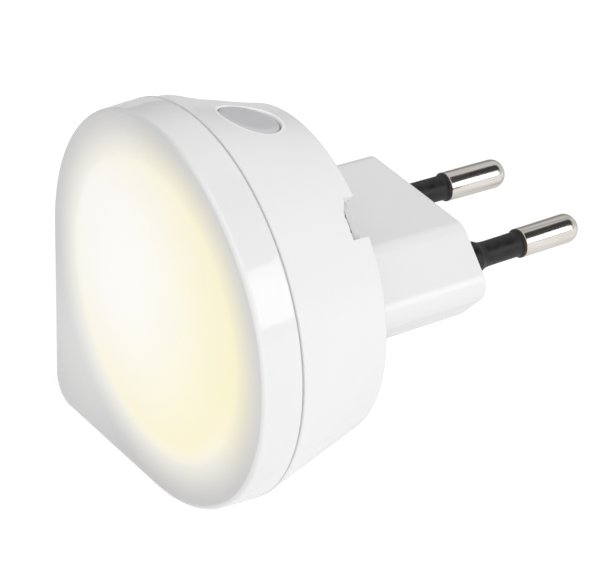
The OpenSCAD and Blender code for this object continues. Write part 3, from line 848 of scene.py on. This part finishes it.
def diode_material():
    m = Nodes("diode_face")
    grains = m.noise(5200.0, 2.0, 0.7)
    x, z = m.axis(0), m.math("SUBTRACT", m.axis(2), HEAD_Z * MM)
    rad = m.math("SQRT", m.math("ADD", m.math("MULTIPLY", x, x), m.math("MULTIPLY", z, z)))
    ring_off = m.math("ABSOLUTE", m.math("SUBTRACT", rad, 0.0085))
    y = m.axis(1)
    phosphor = m.math("MULTIPLY", m.remap(ring_off, 0.0017, 0.0019, 1.0, 0.0), m.remap(y, -0.03395, -0.03385, 1.0, 0.0))
    col = m.mix(phosphor, rgba(0.86, 0.86, 0.84), m.mix(grains, rgba(0.90, 0.72, 0.18), rgba(0.95, 0.82, 0.32)))
    m.set(color=col, rough=m.remap(grains, 0.3, 0.7, 0.35, 0.55), emit=rgba(1.0, 0.93, 0.75), emit_s=m.math("MULTIPLY", phosphor, 2.0))
    m.bump(grains, 6.0e-6)
    return m.mat


def photocell_material():
    """Ceramic disc with a winding track across its face."""
    m = Nodes("photocell_face")
    x = m.axis(0)
    z = m.axis(1)
    zig = m.math("PINGPONG", m.math("MULTIPLY", z, 1.0), 0.0006)
    fold = m.math("ABSOLUTE", m.math("SUBTRACT", m.math("PINGPONG", x, 0.0012), m.math("MULTIPLY", zig, 0.8)))
    col = m.mix(m.remap(fold, 0.00025, 0.00035, 1.0, 0.0), rgba(0.72, 0.55, 0.30), rgba(0.55, 0.12, 0.05))
    spots = m.noise(1800.0, 3.0)
    m.set(color=m.mix(m.math("MULTIPLY", spots, 0.3), col, rgba(0.45, 0.35, 0.2)), rough=m.remap(spots, 0.3, 0.7, 0.45, 0.62))
    m.bump(spots, 8.0e-6)
    return m.mat


# ---- build -----------------------------------------------------------------

cover = make_cover()
housing = make_housing()
plug = make_plug()
window = make_window()
pins = [make_pin(1, "pin_right"), make_pin(-1, "pin_left")]
sleeves = [make_sleeve(1, "sleeve_right"), make_sleeve(-1, "sleeve_left")]

for piece, node, slot in (
    (cover, "front_cover", "opal_cover"),
    (housing, "rear_housing", "white_moulding"),
    (plug, "plug_base", "white_plug"),
    (window, "sensor_window", "grey_window"),
    (pins[0], "line_pin", "nickel_plated_brass"),
    (pins[1], "neutral_pin", "nickel_plated_brass"),
    (sleeves[0], "line_pin_sleeve", "black_sleeve"),
    (sleeves[1], "neutral_pin_sleeve", "black_sleeve"),
):
    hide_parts(node)
    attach(piece, "root")

cover.data.materials.append(cover_material())
housing.data.materials.append(housing_material())
plug.data.materials.append(plug_material())
window.data.materials.append(window_material())
nickel = nickel_material()
black = sleeve_material()
for piece in pins:
    piece.data.materials.append(nickel)
for piece in sleeves:
    piece.data.materials.append(black)

BROWN, BLACK, RED, GOLD, WHITE, GREEN = (0.12, 0.05, 0.02), (0.01, 0.01, 0.01), (0.5, 0.03, 0.02), (0.6, 0.42, 0.1), (0.85, 0.85, 0.85), (0.05, 0.3, 0.08)
inner = {
    "circuit_board": board_material(),
    "board_screws": steel_material(),
    "light_reflector": moulded("white_reflector", (0.86, 0.86, 0.84), rough=0.45, vary=0.02).mat,
    "leds": diode_material(),
    "photocell": photocell_material(),
    "photocell_holder": coated("holder_rubber", (0.02, 0.02, 0.02), 0.6),
    "film_capacitor": coated("film_case", (0.72, 0.50, 0.06), 0.4),
    "smoothing_capacitor": coated("capacitor_sleeve", (0.03, 0.06, 0.24), 0.25, bands=[WHITE], axis=0, centre=0.0109, pitch=3.2e-3),
    "rectifier_diodes": coated("diode_epoxy", (0.015, 0.015, 0.017), 0.4, bands=[WHITE], axis=2, centre=0.00845, pitch=1.6e-3),
    "fuse_resistor": coated("fuse_coating", (0.18, 0.34, 0.22), 0.5, bands=[BROWN, BLACK, BLACK, GOLD], axis=0, centre=-0.013, pitch=1.3e-3),
    "bleed_resistor": coated("bleed_coating", (0.16, 0.32, 0.52), 0.32, bands=[RED, RED, BLACK, BROWN], axis=0, centre=0.0131, pitch=1.2e-3),
    "sense_resistor": coated("sense_coating", (0.60, 0.45, 0.25), 0.32, bands=[BROWN, BLACK, RED, GOLD], axis=2, centre=0.0067, pitch=1.1e-3),
    "led_resistor": coated("series_coating", (0.60, 0.45, 0.25), 0.32, bands=[GREEN, BLACK, BROWN, GOLD], axis=0, centre=0.0016, pitch=1.1e-3),
    "switching_transistor": coated("transistor_epoxy", (0.013, 0.013, 0.014), 0.45),
    "line_wire": coated("brown_insulation", (0.16, 0.07, 0.03), 0.38),
    "neutral_wire": coated("blue_insulation", (0.04, 0.12, 0.42), 0.38),
}
for node, mat in inner.items():
    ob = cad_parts[node]
    ob.data.materials.clear()
    ob.data.materials.append(mat)

# ---- floor, light, camera --------------------------------------------------

low = HEAD_Z - HEAD_R
me = bpy.data.meshes.new("studio_floor")
s = 3.0
me.from_pydata([(-s, -s, low * MM), (s, -s, low * MM), (s, s, low * MM), (-s, s, low * MM)], [], [(0, 1, 2, 3)])
floor = bpy.data.objects.new("studio_floor", me)
bpy.context.scene.collection.objects.link(floor)
fm = Nodes("pale_floor")
grain = fm.noise(40.0, 3.0)
ray = fm.add("ShaderNodeLightPath")
# mirrors see the floor darker on the left than on the right
dim = fm.remap(fm.axis(0), -0.030, 0.050, 0.36, 0.0, True)
fm.set(color=fm.mix(grain, rgba(0.34, 0.34, 0.34), rgba(0.36, 0.36, 0.36)), rough=0.9, emit=rgba(1, 1, 1), emit_s=fm.math("SUBTRACT", 0.76, fm.math("MULTIPLY", ray.outputs["Is Glossy Ray"], dim)), spec=0.05)
floor.data.materials.append(fm.mat)

class Sky(Nodes):
    """The studio round the object, built from soft round patches of light."""

    def __init__(self, name):
        world = bpy.data.worlds.new(name)
        bpy.context.scene.world = world
        world.use_nodes = True
        self.tree = world.node_tree
        self.tree.nodes.clear()
        self.out = self.tree.nodes.new("ShaderNodeOutputWorld")
        self.coord = self.tree.nodes.new("ShaderNodeTexCoord")

    def patch(self, azimuth, elevation, outer, strength, inner=0.0):
        """Smooth round patch about one direction; azimuth runs from +X towards +Y."""
        a, e = math.radians(azimuth), math.radians(elevation)
        way = (math.cos(a) * math.cos(e), math.sin(a) * math.cos(e), math.sin(e))
        dot = self.add("ShaderNodeVectorMath", {0: self.coord.outputs["Generated"], 1: way}, operation="DOT_PRODUCT").outputs["Value"]
        return self.remap(dot, math.cos(math.radians(outer)), math.cos(math.radians(inner)), 0.0, strength, True)

    def total(self, patches):
        out = 0.0
        for p in patches:
            out = self.math("ADD", self.patch(*p), out)
        return out


sky = Sky("studio")
# azimuth, elevation, radius in degrees, strength
soft = sky.total([
    (0, 90, 50, 1.01),
    (0, 42, 42, 0.98),
    (45, 42, 42, 0.51),
    (315, 42, 42, 0.60),
    (225, 42, 42, 0.80),
    (135, 42, 42, 0.08),
    (60, 8, 32, 0.27),
    (90, 8, 32, 0.34),
    (120, 8, 32, 0.36),
    (240, 8, 32, 0.12),
    (300, 8, 32, 0.17),
])
# what mirrors see: an even grey room with a dark strip high on the right
mirror = sky.math("SUBTRACT", 0.74, sky.patch(50, 53, 32, 0.70, 22.0), clamp=True)
mirror = sky.math("SUBTRACT", mirror, sky.patch(150, 2, 36, 0.42, 10.0), clamp=True)
path = sky.add("ShaderNodeLightPath")
level = sky.mix(path.outputs["Is Glossy Ray"], sky.add("ShaderNodeCombineColor", {0: soft, 1: soft, 2: soft}).outputs[0], sky.add("ShaderNodeCombineColor", {0: mirror, 1: mirror, 2: mirror}).outputs[0])
level = sky.mix(path.outputs["Is Camera Ray"], level, rgba(1, 1, 1))
backdrop = sky.add("ShaderNodeBackground", {0: level, 1: 1.0})
sky.tree.links.new(backdrop.outputs[0], sky.out.inputs[0])


def area(name, azimuth, elevation, distance, width, height, power, color=(1, 1, 1)):
    """Soft box aimed at the object; azimuth runs from +X towards +Y."""
    lamp = bpy.data.lights.new(name, "AREA")
    lamp.shape = "RECTANGLE"
    lamp.size, lamp.size_y = width, height
    lamp.energy = power
    lamp.color = color
    ob = bpy.data.objects.new(name, lamp)
    a, e = math.radians(azimuth), math.radians(elevation)
    way = Vector((math.cos(a) * math.cos(e), math.sin(a) * math.cos(e), math.sin(e)))
    ob.location = way * distance + Vector((0, -0.02, 0))
    ob.rotation_mode = "QUATERNION"
    ob.rotation_quaternion = way.to_track_quat("Z", "Y")
    bpy.context.scene.collection.objects.link(ob)
    return ob


area("key_box", 24, 22.5, 1.2, 0.75, 0.62, 3.4)

cam_data = bpy.data.cameras.new("camera")
cam = bpy.data.objects.new("camera", cam_data)
bpy.context.scene.collection.objects.link(cam)
bpy.context.scene.camera = cam
az, el, roll = math.radians(57.8205), math.radians(30.1257), math.radians(0.7428)
back = Vector((math.sin(az) * math.cos(el), -math.cos(az) * math.cos(el), math.sin(el)))
right = Vector((math.cos(az), math.sin(az), 0))
up = back.cross(right)
right2 = right * math.cos(roll) + up * math.sin(roll)
up2 = up * math.cos(roll) - right * math.sin(roll)
place = Vector((0, -25, 0)) + back * 660 + right2 * 5.668 + up2 * 0.132
cam.matrix_world = Matrix((
    (right2.x, up2.x, back.x, place.x * MM),
    (right2.y, up2.y, back.y, place.y * MM),
    (right2.z, up2.z, back.z, place.z * MM),
    (0, 0, 0, 1),
))
cam_data.sensor_fit = "HORIZONTAL"
cam_data.sensor_width = 36.0
cam_data.lens = 302.785
cam_data.clip_start, cam_data.clip_end = 0.01, 50.0

scene = bpy.context.scene
scene.view_settings.view_transform = "Standard"
scene.view_settings.look = "None"
scene.view_settings.exposure = 0.0
scene.view_settings.gamma = 1.0
